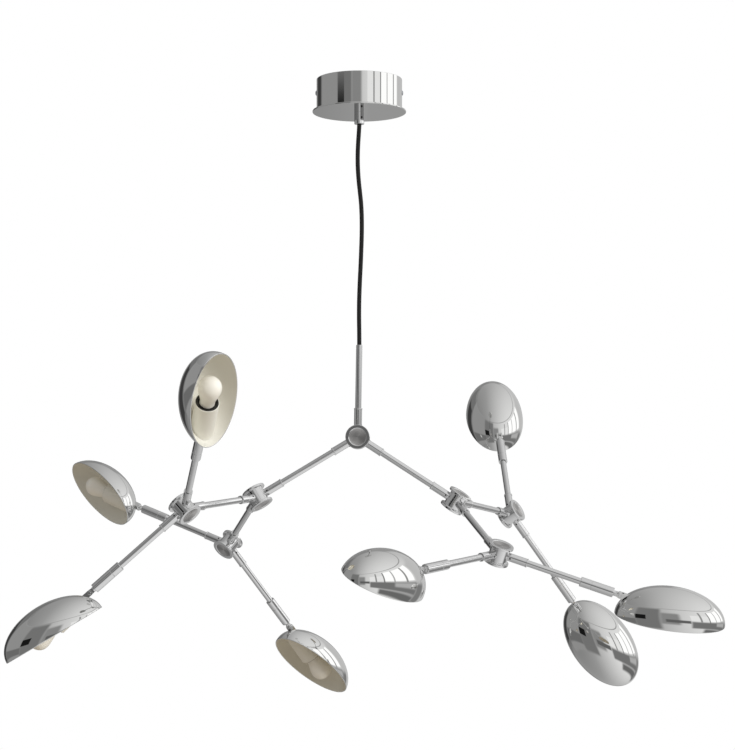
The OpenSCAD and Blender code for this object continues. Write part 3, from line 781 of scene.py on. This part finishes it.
def skin_reach(radius, angle, inset):
    """Where a line parallel to the holder's axis meets the inside of the shell, along that axis."""
    back = turn_y(SHADE_PITCH)
    y, z = radius * math.cos(angle), radius * math.sin(angle)
    start = back @ Vector((0, y, z)) + Vector((PIVOT_X, 0, PIVOT_Z))
    way = back @ Vector((1, 0, 0))
    a, b = SHADE_A - inset, SHADE_B - inset
    scale = Vector((1 / a, 1 / b, 1 / b))
    s, w = start * scale, way * scale
    qa, qb, qc = w.dot(w), 2 * s.dot(w), s.dot(s) - 1
    return (-qb - math.sqrt(max(0.0, qb * qb - 4 * qa * qc))) / (2 * qa)


def make_lampholder(n):
    """The painted cover, cut to the inside of the shell, and the black holder in it."""
    place = head_frame(n)
    holder = Piece(f"head_{n}_lampholder")
    around, rows = 72, 12
    inset = SHADE_WALL + COVER_GAP
    tip = rounded([(0, COVER_R), (COVER_END, COVER_R, 0.5), (COVER_END, COVER_R - COVER_WALL, 0.3),
                   (0, COVER_R - COVER_WALL)], 3)
    lip = tip[1:-1]
    points, faces = [], []
    for s in range(around):
        angle = 2 * math.pi * s / around
        begin = skin_reach(COVER_R, angle, inset)
        inner = skin_reach(COVER_R - COVER_WALL, angle, inset)
        line = [(begin + (COVER_END - 2 - begin) * k / rows, COVER_R) for k in range(rows + 1)] + lip
        line += [(inner + (COVER_END - 2 - inner) * (1 - k / rows), COVER_R - COVER_WALL) for k in range(rows + 1)]
        points += [(x, r * math.cos(angle), r * math.sin(angle)) for x, r in line]
        size = len(line)
    for s in range(around):
        e = (s + 1) % around
        for k in range(size):
            m = (k + 1) % size
            faces.append((s * size + k, e * size + k, e * size + m, s * size + m))
    holder.add(points, faces, cream, place)
    inside = COVER_R - COVER_WALL - 0.2
    holder.turned(rounded([(HOLDER_START, 0), (HOLDER_START, inside, 0.5), (COVER_END - 0.5, inside),
                           (COVER_END + SIT, RING_R - 0.3, 0.1),
                           (COVER_END + RING_LEN, RING_R - 0.5, 0.4), (COVER_END + RING_LEN, 12.2, 0.3),
                           (COVER_END + 0.3, 12.0, 0.1), (COVER_END + 0.3, 11.6, 0.1),
                           (COVER_END + RING_LEN - 0.1, 11.4, 0.2), (COVER_END + RING_LEN - 0.2, RING_BORE_R, 0.2),
                           (COVER_END - 1.9, RING_BORE_R, 0.2), (COVER_END - 1.9, SOCKET_R, 0.2),
                           (SOCKET_FLOOR, 7.2), (SOCKET_FLOOR, 0)]),
                  black_plastic, place, steps=72)
    holder.turned(rounded([(5, 0), (5, 2.4), (31, 2.4), (31, 0)]), plain_steel, place, steps=24)
    settle(holder.build(), f"head_{n}", "cream_paint", f"lampholder_{n}")


def make_bulb(n):
    """A frosted bulb with a small screw cap."""
    neck_end = COVER_END + RING_LEN + 1
    thread = [(35.2, 0), (35.2, 3.5), (36.5, BULB_CAP_R - 1.0)]
    for k in range(6):
        thread += [(37.0 + 2 * k, BULB_CAP_R - 0.6), (38.0 + 2 * k, BULB_CAP_R)]
    cap = len(thread)
    glass = [(COVER_END - 1.5, BULB_CAP_R), (COVER_END - 0.6, BULB_NECK_R)]
    for k in range(25):
        t = k / 24
        glass.append((neck_end + (BULB_CENTRE - neck_end) * t,
                      BULB_NECK_R + (BULB_R - BULB_NECK_R) * t * t * (3 - 2 * t)))
    for k in range(1, 25):
        t = math.radians(90 * k / 24)
        glass.append((BULB_CENTRE + BULB_R * math.sin(t), BULB_R * math.cos(t) if k < 24 else 0.0))
    bulb = Piece(f"head_{n}_bulb")
    bulb.turned(thread + glass, frosted, head_frame(n), steps=72, bands=((0, cap, plain_steel),))
    settle(bulb.build(50), f"head_{n}", "frosted_glass", f"bulb_{n}")


# ---------- studio ----------

# Flat areas of the room round the lamp, each painted over the ones before it: from and to in degrees
# round from the front towards the right, lowest and highest in degrees above the lamp, brightness, and
# how soft its edges are in degrees.
ROOM = (
    (-180, -158, -32, 38, 0.27, 3.0),    # back wall
    (166, 184, -32, 38, 0.34, 3.0),
    (-158, -120, -24, 40, 0.19, 3.0),    # dark curtain in the left back corner
    (-150, -126, -18, 21, 0.05, 1.5),
    (-120, -60, -32, 38, 0.32, 2.0),     # left wall with a low cupboard
    (-120, -60, -21, -4, 0.17, 2.0),
    (-60, -20, -30, 36, 0.20, 4.0),      # open door in front on the left
    (-60, -41, -2, 12.2, 0.01, 0.7),
    (-20, 6, -12, 24, 0.28, 4.0),        # front wall, with a dark stand before it
    (-13, 21, -5, 4.0, 0.13, 1.5),
    (22, 58, 4.8, 22, 0.95, 0.6),        # windows, with their posts and what stands below them
    (60, 121, 4.8, 32, 1.25, 0.6),
    (38, 42, 2, 32, 0.34, 0.6),
    (58, 61, -5, 32, 0.25, 0.6),
    (79, 82, 2, 32, 0.50, 0.6),
    (103, 107, 2, 32, 0.34, 0.6),
    (22, 140, -20, 2, 0.20, 3.0),
    (80, 122, -10, 0, 0.50, 3.0),
    (46, 142, -39, -21, 0.16, 5.0),
    (124, 166, -30, 30, 0.60, 3.0),      # right back wall, with a shelf
    (124, 143, -30, -1, 0.22, 4.0),
    (-184, 184, 37, 38.3, 0.34, 0.5),    # cornice
)


FLOOR_REACH, FLOOR_LEVEL = 4.0, -1.45
LAMP_MIDDLE = (0, 0, -0.55)


def make_area_group():
    """A flat area on the room's walls, painted over what is given as Behind."""
    tree, given, out = group_tree(
        "wall_area",
        [("Azimuth", "NodeSocketFloat", 0.0), ("Elevation", "NodeSocketFloat", 0.0), ("Left", "NodeSocketFloat", 0.0),
         ("Right", "NodeSocketFloat", 0.0), ("Low", "NodeSocketFloat", 0.0), ("High", "NodeSocketFloat", 0.0),
         ("Softness", "NodeSocketFloat", 0.5), ("Behind", "NodeSocketColor", grey(0.5)),
         ("Tone", "NodeSocketColor", grey(0.5))],
        [("Color", "NodeSocketColor")])
    mask = None
    for value, limit, sign in (("Azimuth", "Left", 1.0), ("Azimuth", "Right", -1.0),
                               ("Elevation", "Low", 1.0), ("Elevation", "High", -1.0)):
        past = add_node(tree, "ShaderNodeMath", {"operation": "SUBTRACT"}, _0=given[value], _1=given[limit])
        share = add_node(tree, "ShaderNodeMath", {"operation": "DIVIDE"}, _0=past.outputs[0], _1=given["Softness"])
        edge = add_node(tree, "ShaderNodeMapRange", {"interpolation_type": "SMOOTHSTEP"}, _0=share.outputs[0],
                        _1=-sign, _2=sign).outputs[0]
        mask = edge if mask is None else add_node(
            tree, "ShaderNodeMath", {"operation": "MULTIPLY"}, _0=mask, _1=edge).outputs[0]
    painted = add_node(tree, "ShaderNodeMix", {"data_type": "RGBA"}, _0=mask, _6=given["Behind"], _7=given["Tone"])
    tree.links.new(painted.outputs[2], out["Color"])
    return tree


def make_studio():
    """The room that the chrome mirrors, the floor and the lights. The camera sees plain white."""
    scene = bpy.context.scene
    scene.view_settings.view_transform = "Standard"
    world = bpy.data.worlds.new("studio")
    world.use_nodes = True
    scene.world = world
    tree = world.node_tree
    tree.nodes.clear()
    way = add_node(tree, "ShaderNodeTexCoord").outputs["Generated"]
    split = add_node(tree, "ShaderNodeSeparateXYZ", Vector=way)
    front = add_node(tree, "ShaderNodeMath", {"operation": "MULTIPLY"}, _0=split.outputs["Y"], _1=-1.0)
    angle = add_node(tree, "ShaderNodeMath", {"operation": "ARCTAN2"}, _0=split.outputs["X"], _1=front.outputs[0])
    azimuth = add_node(tree, "ShaderNodeMath", {"operation": "DEGREES"}, _0=angle.outputs[0])
    rise = add_node(tree, "ShaderNodeMath", {"operation": "ARCSINE"}, _0=split.outputs["Z"])
    elevation = add_node(tree, "ShaderNodeMath", {"operation": "DEGREES"}, _0=rise.outputs[0])
    # ceiling and floor brighten towards the windows
    side = add_node(tree, "ShaderNodeVectorMath", {"operation": "DOT_PRODUCT"}, _0=way, _1=(0.966, -0.259, 0.0))
    base = add_node(tree, "ShaderNodeValToRGB", Fac=add_node(
        tree, "ShaderNodeMapRange", _0=side.outputs["Value"], _1=-1.0, _2=1.0).outputs[0])
    set_stops(base, [(0.1, grey(0.28)), (0.3, grey(0.37)), (0.5, grey(0.55)), (0.7, grey(0.71)), (0.9, grey(0.86))])
    room = base.outputs["Color"]
    area = make_area_group()
    for left, right, lowest, highest, tone, soft in ROOM:
        node = tree.nodes.new("ShaderNodeGroup")
        node.node_tree = area
        for key, value in (("Left", left), ("Right", right), ("Low", lowest), ("High", highest), ("Softness", soft),
                           ("Tone", grey(tone))):
            node.inputs[key].default_value = value
        tree.links.new(azimuth.outputs[0], node.inputs["Azimuth"])
        tree.links.new(elevation.outputs[0], node.inputs["Elevation"])
        tree.links.new(room, node.inputs["Behind"])
        room = node.outputs["Color"]
    seen = add_node(tree, "ShaderNodeLightPath").outputs["Is Camera Ray"]
    shade = add_node(tree, "ShaderNodeMix", {"data_type": "RGBA"}, _0=seen, _6=room, _7=grey(1.0))
    light = add_node(tree, "ShaderNodeBackground", Color=shade.outputs[2], Strength=1.0)
    tree.links.new(light.outputs[0], tree.nodes.new("ShaderNodeOutputWorld").inputs["Surface"])

    material = bpy.data.materials.new("studio_floor")
    material.use_nodes = True
    tree = material.node_tree
    tree.nodes.clear()
    seen = add_node(tree, "ShaderNodeLightPath").outputs["Is Camera Ray"]
    tone = add_node(tree, "ShaderNodeMix", {"data_type": "RGBA"}, _0=seen, _6=(0.40, 0.345, 0.27, 1.0), _7=grey(1.0))
    glow = add_node(tree, "ShaderNodeEmission", Color=tone.outputs[2], Strength=1.0)
    tree.links.new(glow.outputs[0], tree.nodes.new("ShaderNodeOutputMaterial").inputs["Surface"])
    mesh = bpy.data.meshes.new("studio_floor")
    reach, level = FLOOR_REACH, FLOOR_LEVEL
    mesh.from_pydata([(-reach, -reach, level), (reach, -reach, level), (reach, reach, level), (-reach, reach, level)],
                     [], [(0, 1, 2, 3)])
    mesh.materials.append(material)
    floor = bpy.data.objects.new("studio_floor", mesh)
    scene.collection.objects.link(floor)
    floor.visible_glossy = False

    for name, place, wide, high, power in (
            ("window_light", (3.0, -2.4, 0.5), 1.7, 1.7, 95.0), ("side_light", (-3.2, -1.2, 0.9), 1.0, 1.6, 10.0)):
        data = bpy.data.lights.new(name, "AREA")
        data.shape, data.size, data.size_y, data.energy = "RECTANGLE", wide, high, power
        data.color = (1.0, 0.985, 0.95)
        lamp = bpy.data.objects.new(name, data)
        lamp.visible_glossy = False
        lamp.location = place
        lamp.rotation_euler = (Vector(LAMP_MIDDLE) - Vector(place)).to_track_quat("-Z", "Y").to_euler()
        scene.collection.objects.link(lamp)


# ---------- the whole lamp ----------

place_camera()
polish, speckle = make_polish_group(), make_speckle_group()
canopy_chrome = chrome_material("canopy_mirror_chrome", (0.80, 0.80, 0.79), (0.77, 0.77, 0.76), 0.02, 0.045, 0.01)
frame_chrome = chrome_material("frame_polished_chrome", (0.82, 0.82, 0.82), (0.78, 0.78, 0.78), 0.05, 0.09, 0.004,
                               60.0)
shade_chrome = chrome_material("shade_mirror_chrome", (0.82, 0.82, 0.81), (0.79, 0.79, 0.78), 0.015, 0.04, 0.008)
turned_chrome = turned_chrome_material("turned_hub_dish")
cream = painted_material("cream_paint", (0.84, 0.83, 0.77), (0.80, 0.79, 0.73), 0.42, 0.55, 0.08)
black_plastic = painted_material("black_ring_plastic", (0.010, 0.009, 0.008), (0.006, 0.006, 0.005), 0.3, 0.45, 0.05,
                                 coat=0.2)
black_steel = painted_material("blackened_screw_steel", (0.03, 0.03, 0.03), (0.012, 0.012, 0.013), 0.3, 0.5, 0.05)
plain_steel = chrome_material("zinc_plated_steel", (0.60, 0.61, 0.63), (0.50, 0.51, 0.54), 0.22, 0.34, 0.1, 160.0)
terminal = painted_material("terminal_block_plastic", (0.78, 0.77, 0.73), (0.70, 0.69, 0.65), 0.4, 0.55, 0.1)
frosted = frosted_material("frosted_bulb_glass")
textile = textile_material("black_textile_braid")
tube_tree, grub_tree = make_tube_tree(), make_grub_tree()

make_cord()
make_canopy()
make_frame()
for head in HEADS:
    make_sleeve(head)
    make_shade(head)
    make_lampholder(head)
    make_bulb(head)

for node, material, slot in (("ceiling_bracket", plain_steel, "plain_steel"),
                             ("terminal_block", terminal, "terminal_plastic")):
    piece = frame["nodes"][node]
    for socket in piece.material_slots:
        socket.material = material

make_studio()
